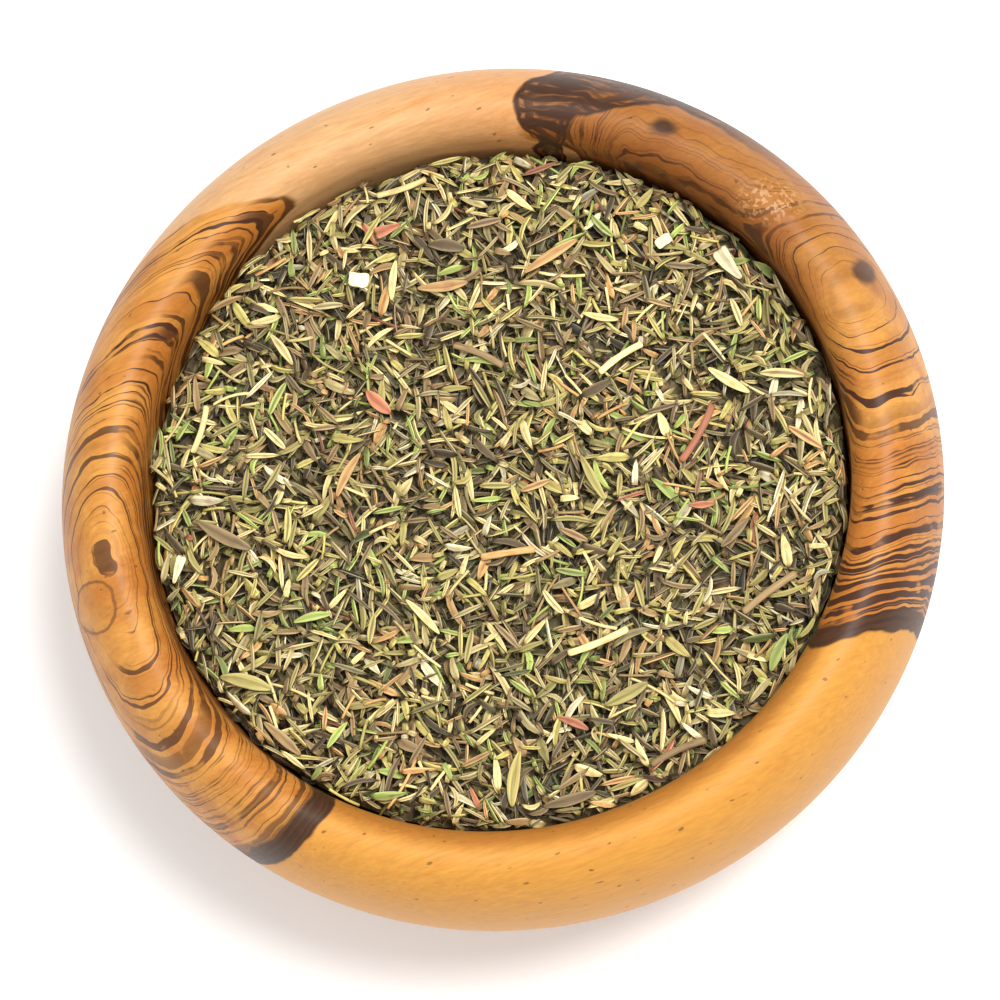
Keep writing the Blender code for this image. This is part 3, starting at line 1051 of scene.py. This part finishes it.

# %% [markdown]
# ## The colours of dried leaves
#
# Dried thyme is straw, olive, tan, grey-brown, and here and there still green or turned red. Each
# piece carries one swatch of an eight by eight card in its UV map: the column says which colour it
# has, and the row how light it is. Inside its swatch, the map runs along the leaf and across it.
# So one material can give every leaf its own tone, a painted highlight along its rolled margins,
# painted shade in the groove over its midrib and along its underside and edges, and the
# streaks of its dry skin.

# %% Swatches
CARD = 8
TONES = {
    "straw": (0.56, 0.455, 0.190),
    "olive": (0.365, 0.310, 0.085),
    "tan": (0.41, 0.235, 0.080),
    "grey_brown": (0.24, 0.155, 0.062),
    "green": (0.285, 0.350, 0.075),
    "dark": (0.085, 0.054, 0.020),
    "cream": (0.61, 0.54, 0.33),
    "russet": (0.30, 0.10, 0.045),
}
TONE_NAMES = list(TONES)
TONE_SHARES = (0.26, 0.27, 0.11, 0.14, 0.09, 0.075, 0.045, 0.01)
DARKEST_ROW, LIGHTEST_ROW = 0.25, 1.72
MARGIN_HIGHLIGHT_COLOUR = (0.72, 0.65, 0.43, 1.0)
OWN_NOISE = 7.3


def swatch_group():
    tree, entry, leave = new_group(
        "leaf_swatch",
        {"Margin": "Float", "Midrib": "Float", "Under": "Float"},
        {"Colour": "Color", "Streak": "Float"},
    )
    card = tree.nodes.new("ShaderNodeUVMap")
    card.uv_map = "OFBake"
    on_card = Wire(card.outputs["UV"]) * float(CARD)
    cell = maths("FLOOR", on_card, kind="VectorMath")
    inside = on_card - cell
    column, row, _ = split(cell)
    tones = tree.nodes.new("ShaderNodeValToRGB")
    tones.color_ramp.interpolation = "CONSTANT"
    stops = tones.color_ramp.elements
    for number, tone in enumerate(TONES.values()):
        stop = stops[number] if number < 2 else stops.new(number / CARD)
        stop.position = number / CARD
        stop.color = (*tone, 1.0)
    feed(tones.inputs[0], column * (1.0 / CARD) + 0.5 / CARD)

    own = cell * OWN_NOISE
    streak = noise(own + inside * (1.4, 6.0, 1.0), 0.6, 2.0, 0.6)
    patch = noise(own + inside * (2.6, 1.3, 1.0), 0.7, 1.0)
    light = ramp(row, 0.0, CARD - 1.0, DARKEST_ROW, LIGHTEST_ROW, "LINEAR")
    light = light * ramp(streak, 0.28, 0.72, 0.62, 1.32, "LINEAR")
    colour = Wire(tones.outputs["Color"]) * light
    colour = mixed(ramp(patch, 0.5, 0.72, 0.0, 0.75), colour, colour * (0.72, 0.56, 0.5))

    aside = maths("ABSOLUTE", split(inside)[1] - 0.5)
    # Painted highlight: the rolled margins are made paler and creamier, as if they caught the light.
    pale = mixed(0.5, colour * (1.7, 1.65, 1.5), MARGIN_HIGHLIGHT_COLOUR)
    colour = mixed(ramp(aside, 0.20, 0.34) * entry["Margin"], colour, pale)
    # Painted shade: the groove over the midrib is darkened.
    midrib = ramp(aside, 0.05, 0.19, 1.0, 0.0) * entry["Midrib"]
    colour = mixed(midrib, colour, colour * (0.34, 0.30, 0.26))
    # Painted shade: the underside and lower edges of each piece are darkened, nearly to black.
    shaded = colour * entry["Under"] * (1.0, 0.8, 0.5)
    colour = mixed(ramp(aside, 0.37, 0.45), colour, shaded)
    return leave(Colour=colour, Streak=streak)


leaf_swatch = swatch_group()


def herb_material(name, roughness, margin_highlight, midrib, under):
    material, tree, shader = new_material(name, roughness)
    swatch = place_group(tree, leaf_swatch, Margin=margin_highlight, Midrib=midrib, Under=under)
    feed(shader.inputs["Base Color"], swatch["Colour"])
    rough = ramp(swatch["Streak"], 0.2, 0.8, roughness - 0.08, roughness + 0.1, "LINEAR")
    feed(shader.inputs["Roughness"], rough)
    add_bump(shader, swatch["Streak"], 0.00008, 0.4)
    return material


# Last three numbers: painted margin highlight, painted midrib shade, colour kept in the painted shade
# underneath.
rolled_leaf_skin = herb_material("rolled_leaf_skin", 0.60, 0.62, 0.90, 0.03)
open_leaf_skin = herb_material("open_leaf_skin", 0.66, 0.45, 0.50, 0.04)
dried_stem = herb_material("dried_stem", 0.55, 0.12, 0.0, 0.06)

# %% [markdown]
# Copies of a shape are made all at once: its corners are scaled, rolled, tipped, turned and moved
# for every piece of that shape, and the results are joined.

# %% Copy the shapes into joined meshes
def turns(headings, slopes, rolls):
    """For many pieces at once: roll about the length, tip along it, turn to the heading."""
    zero, one = np.zeros_like(headings), np.ones_like(headings)
    ch, sh, cr, sr = np.cos(headings), np.sin(headings), np.cos(rolls), np.sin(rolls)
    cp, sp = np.cos(np.arctan(slopes)), np.sin(np.arctan(slopes))
    turn, tip, roll = (
        np.moveaxis(np.array(rows), -1, 0)
        for rows in (
            ((ch, -sh, zero), (sh, ch, zero), (zero, zero, one)),
            ((cp, zero, -sp), (zero, one, zero), (sp, zero, cp)),
            ((one, zero, zero), (zero, cr, -sr), (zero, sr, cr)),
        )
    )
    return turn @ tip @ roll


def on_swatch(along, across):
    """Places inside a swatch, kept clear of its edges."""
    return np.stack((0.08 + 0.84 * along, 0.04 + 0.92 * across), axis=-1)


def copies_of(shape, sizes, lies, tones, shades):
    """Corner places, face corners, face starts and card places for many copies of a shape."""
    count = len(sizes)
    local = shape.corners[None] * (sizes / np.array(shape.size))[:, None, :]
    turn = turns(lies[:, 3], lies[:, 4], lies[:, 5])
    corners = np.einsum("nij,nkj->nki", turn, local) + lies[:, None, :3]
    shift = np.arange(count)[:, None] * len(shape.corners)
    loops = (shape.loops[None] + shift).ravel()
    starts = (shape.starts[None] + np.arange(count)[:, None] * len(shape.loops)).ravel()
    inside = on_swatch(shape.along, shape.across)[shape.loops]
    cells = np.stack((tones, shades), axis=-1)[:, None, :]
    card = (cells + inside[None]) / CARD
    return corners.reshape(-1, 3), loops, starts, card.reshape(-1, 2)


def joined(name, parts, material):
    """One mesh object from the parts that copies_of gives."""
    corners, loops, starts, card = zip(*parts)
    corner_shifts = np.cumsum([0] + [len(part) for part in corners[:-1]])
    loop_shifts = np.cumsum([0] + [len(part) for part in loops[:-1]])
    loops = np.concatenate([part + shift for part, shift in zip(loops, corner_shifts)])
    starts = np.concatenate([part + shift for part, shift in zip(starts, loop_shifts)])
    corners, card = np.concatenate(corners), np.concatenate(card)
    mesh = bpy.data.meshes.new(name)
    mesh.vertices.add(len(corners))
    mesh.vertices.foreach_set("co", (corners * MM).ravel())
    mesh.loops.add(len(loops))
    mesh.loops.foreach_set("vertex_index", loops.astype(np.int32))
    mesh.polygons.add(len(starts))
    mesh.polygons.foreach_set("loop_start", starts.astype(np.int32))
    mesh.update(calc_edges=True)
    mesh.uv_layers.new(name="OFBake").data.foreach_set("uv", card.ravel())
    mesh.polygons.foreach_set("use_smooth", np.ones(len(starts), dtype=bool))
    mesh.materials.append(material)
    piece = bpy.data.objects.new(name, mesh)
    bpy.context.scene.collection.objects.link(piece)
    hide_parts("thyme_fill")
    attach(piece, "root")
    return piece


FAMILIES = {
    "rolled_leaves": (("rolled_leaf", "bent_leaf"), rolled_leaf_skin),
    "needles": (("needle", "broken_needle"), rolled_leaf_skin),
    "lance_leaves": (("lance_leaf", "swept_leaf", "hooked_leaf"), open_leaf_skin),
    "broken_leaves": (("open_leaf", "broken_leaf", "crumb"), open_leaf_skin),
    "stem_bits": (("stem_bit", "thin_stem"), dried_stem),
}


def tone_and_shade(lies):
    """Random tones and shades, with painted shade: what lies deeper gets a darker row."""
    tones = draws.choice(len(TONE_NAMES), size=len(lies), p=TONE_SHARES)
    depth = fill_height(lies[:, 0], lies[:, 1]) - lies[:, 2]
    # Painted shade: the row is lowered for pieces that lie below the heap's surface.
    usual = 4.3 - 2.6 * np.clip(depth - 0.2, 0.0, 1.5)
    shades = np.clip(np.rint(draws.normal(usual, 1.8)), 0, CARD - 1)
    return tones, shades


def lay_out(prefix, pieces):
    """Make the joined meshes for a heap of pieces."""
    for family, (kinds, material) in FAMILIES.items():
        parts = []
        for kind in kinds:
            mine = [piece for piece in pieces if piece[0].name == kind]
            if mine:
                sizes = np.array([size for _, size, _ in mine])
                lies = np.array([lie for _, _, lie in mine])
                tones, shades = tone_and_shade(lies)
                parts.append(copies_of(mine[0][0], sizes, lies, tones, shades))
        if parts:
            made = joined(prefix + family, parts, material)
            print(made.name, len(made.data.polygons), "faces")


lay_out("loose_", heap)

# %% [markdown]
# Under the loose pieces lies the settled herb. It shows only as dark, uneven litter in the gaps,
# so it is a turned plug whose top is roughened, in the colours of the same leaves in deep shade.

# %% The settled herb
CORE_TOP_DROP = 2.6
CORE_GAP = 0.45
CORE_STEPS = 160
CORE_RADIUS = 43.0
CORE_RINGS = 24
ROUGH_ABOVE = 34.0 * MM
ROUGH_WITHIN = 41.5 * MM
ROUGHNESS = 0.5 * MM
CORE_OLIVE = (0.10, 0.078, 0.030, 1.0)
CORE_DARK = (0.035, 0.024, 0.010, 1.0)
CORE_LIGHT = (0.20, 0.16, 0.065, 1.0)


def core_section():
    rings = [CORE_RADIUS * step / CORE_RINGS for step in range(CORE_RINGS + 1)]
    top = [(x, fill_height(x, 0.0) - CORE_TOP_DROP) for x in rings]
    wall = arc((0.0, LIP_Z), (LIP_RADIUS, LIP_Z - FLOOR_Z), -7.0, -90.0, 20, INSIDE_FULLNESS)
    reach = 1.0 - CORE_GAP / LIP_RADIUS
    wall = [(x * reach, LIP_Z + (z - LIP_Z) * reach) for x, z in wall[:-1] if z < top[-1][1] - 0.3]
    return top + wall + [(0.0, FLOOR_Z + CORE_GAP)]


def core_material():
    material, tree, shader = new_material("settled_thyme", 0.8)
    place = source(tree, "TexCoord", "Object") * (1.0 / MM)
    cells = tree.nodes.new("ShaderNodeTexVoronoi")
    feed(cells.inputs["Vector"], place * (1.0, 0.6, 1.0))
    cells.inputs["Scale"].default_value = 0.9
    red, green, _ = split(Wire(cells.outputs["Color"]))
    colour = mixed(red, CORE_OLIVE, CORE_DARK)
    colour = mixed(ramp(green, 0.7, 0.9, 0.0, 0.7), colour, CORE_LIGHT)
    feed(shader.inputs["Base Color"], colour)
    add_bump(shader, Wire(cells.outputs["Distance"]), 0.0005)
    return material


core = draw_and_spin("settled_herb", core_section(), CORE_STEPS)
dry_oval(core)
bpy.ops.object.mode_set(mode="EDIT")
select_where(core, lambda at: at.z > ROUGH_ABOVE and math.hypot(at.x, at.y) < ROUGH_WITHIN)
bpy.ops.transform.vertex_random(offset=ROUGHNESS, seed=4)
bpy.ops.object.mode_set(mode="OBJECT")
bpy.ops.object.shade_smooth()
core.data.materials.append(core_material())
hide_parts("thyme_fill")
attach(core, "root")
print("settled_herb:", len(core.data.polygons), "faces")

# %% [markdown]
# ## The pieces that can be told apart
#
# On top lie larger leaves, twigs, folded husks and flakes, each one where the frame has it. They
# are drawn out like the litter, but from a ring of ten corners and through more stations, and are
# then subdivided once. Each one has its own outline, bend and tone.

# %% Outlines of the larger pieces
FINE_SIDES = 10
FINE_STATIONS = 11
FINE_RISE = 0.25
BROAD = (0.20, 0.62, 0.92, 1.0, 0.86, 0.55, 0.12)
LONG = (0.24, 0.70, 0.95, 1.0, 0.92, 0.68, 0.16)
HUSK = (0.28, 0.52, 0.78, 1.0, 0.94)
FLAKE = (0.74, 1.0, 0.92, 0.98, 0.70)
STALK = (1.0, 0.84, 0.92, 0.80, 0.90, 0.82, 0.96)

# Each kind of node: outline, groove, hollow, ends, arch in mm, material and slot.
KINDS = {
    "broad_leaf": (BROAD, 0.80, 0.7, TIPS, 0.22, open_leaf_skin, "dried_leaf"),
    "small_leaf": (LONG, 0.75, 0.6, TIPS, 0.12, rolled_leaf_skin, "dried_leaf"),
    "russet_leaf": (BROAD, 0.85, 0.7, TIPS, 0.30, open_leaf_skin, "russet_leaf"),
    "stem_piece": (STALK, 0.10, 0.0, CUTS, 0.10, dried_stem, "dried_stem"),
    "calyx": (HUSK, 0.55, 0.3, MOUTH, 0.20, open_leaf_skin, "dried_calyx"),
    "bark_chip": (FLAKE, 0.15, 0.2, CUTS, 0.08, dried_stem, "dried_stem"),
}

# Tone and shade of the pieces whose colour stands out, by number. The others take turns.
OWN_TONES = {
    "broad_leaf": [
        ("straw", 6), ("tan", 4), ("dark", 5), ("tan", 5), ("straw", 5), ("grey_brown", 3),
        ("olive", 4), ("grey_brown", 6), ("olive", 5), ("grey_brown", 2), ("olive", 3),
        ("straw", 6), ("green", 5), ("green", 6),
    ],
    "stem_piece": [("russet", 4), ("straw", 7), None, ("grey_brown", 5)],
    "russet_leaf": [("russet", 7), ("russet", 5), ("russet", 6), ("russet", 3)],
    "calyx": [("cream", 4), ("russet", 6), ("cream", 6)],
    "bark_chip": [("cream", 7), ("cream", 5)],
}
TURN_TONES = ("straw", "olive", "grey_brown", "olive", "tan", "straw", "green")
STEM_TONES = ("straw", "tan", "grey_brown")


def finer(outline, count):
    """The outline at more stations, a little uneven, as dried edges are."""
    shares = np.interp(np.linspace(0.0, 1.0, count), np.linspace(0.0, 1.0, len(outline)), outline)
    uneven = 1.0 + draws.uniform(-0.07, 0.07, size=count)
    return tuple(float(share) for share in np.clip(shares * uneven, 0.1, 1.0))


def open_mouth(piece, station):
    """Sink the husk's end into a hollow mouth and pull alternate corners out as teeth."""
    bpy.ops.object.mode_set(mode="EDIT")
    bpy.ops.mesh.select_mode(type="VERT")
    select_where(piece, lambda at: abs(at.x - station[0]) < 1e-5)
    bpy.ops.mesh.inset(thickness=0.16)
    bpy.ops.transform.translate(value=(-1.4, 0.0, 0.0))
    def on_rim(at):
        return abs(at.x - station[0]) < 1e-5 and abs(at.z - station[4]) > 0.5 * station[2]

    select_where(piece, on_rim)
    bpy.ops.transform.translate(value=(0.5, 0.0, 0.0))
    bpy.ops.object.mode_set(mode="OBJECT")


def add_card(piece, stations, length, tone, shade):
    """Write the piece's card places from its shape, while it still lies along X."""
    corners, loops, _ = read_shape(piece)
    along = np.clip(corners[:, 0] / length + 0.5, 0.0, 1.0)
    across = across_shares(corners, stations)
    inside = on_swatch(along, np.clip(across, 0.0, 1.0))
    card = (inside + np.array((TONE_NAMES.index(tone), shade))) / CARD
    layer = piece.data.uv_layers.new(name="OFBake")
    layer.data.foreach_set("uv", card[loops].ravel())
    layer.active = True


def place_piece(node, number):
    kind, order = node.rsplit("_", 1)
    outline, groove, hollow, ends, arch, material, slot_name = KINDS[kind]
    lay = lays[node]
    thickness = min(max(lay["high"] - lay["low"], 0.35), 0.9)
    sweep = draws.uniform(-0.05, 0.05) * lay["length"]
    shares = finer(outline, FINE_STATIONS)
    stations = stations_for(shares, lay["length"], lay["width"], thickness * 0.8, sweep, arch)
    turn = STEM_TONES if kind == "stem_piece" else TURN_TONES
    own = dict(enumerate(OWN_TONES.get(kind, ()), 1)).get(int(order))
    tone, shade = own or (turn[number % len(turn)], 3 + number % 4)
    closed = tuple("cut" if end == "mouth" else end for end in ends)
    piece = draw_out(node + "_piece", stations, FINE_SIDES, groove, hollow, closed)
    if "mouth" in ends:
        open_mouth(piece, stations[-1])
    smooth = piece.modifiers.new("smooth", "SUBSURF")
    smooth.levels = smooth.render_levels = 1
    bpy.ops.object.modifier_apply(modifier="smooth")
    bpy.ops.object.shade_smooth()
    for layer in list(piece.data.uv_layers):
        piece.data.uv_layers.remove(layer)
    add_card(piece, stations, lay["length"], tone, shade)
    lowest = min(corner.co.z for corner in piece.data.vertices)
    piece.scale = (MM, MM, MM)
    piece.rotation_euler.z = lay["heading"]
    piece.location = Vector((*lay["middle"], lay["low"] - lowest + FINE_RISE)) * MM
    bpy.ops.object.transform_apply(location=True, rotation=True, scale=True)
    piece.data.materials.append(material)
    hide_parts(node)
    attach(piece, "root")
    return piece


for number, node in enumerate(lays):
    place_piece(node, number)
print(len(lays), "larger pieces placed")

# %% [markdown]
# Last, some small leaves and crumbs are sprinkled over everything, and a few of them come to lie
# partly on the larger pieces, which ties those in with the rest.

# %% The last sprinkle
SPRINKLE_COUNT = 900
SPRINKLE_CEILING = 0.9
SPRINKLED = ("needle", "broken_needle", "broken_leaf", "crumb", "rolled_leaf", "stem_bit")

for lay in lays.values():
    window, inside = under_piece(lay)
    heights[window] = np.where(inside, np.maximum(heights[window], lay["high"] + 0.1), heights[window])
ceiling = settled + SPRINKLE_CEILING
sprinkle = pour(SPRINKLE_COUNT, [shape for shape in shapes if shape.name in SPRINKLED])
lay_out("sprinkled_", sprinkle)
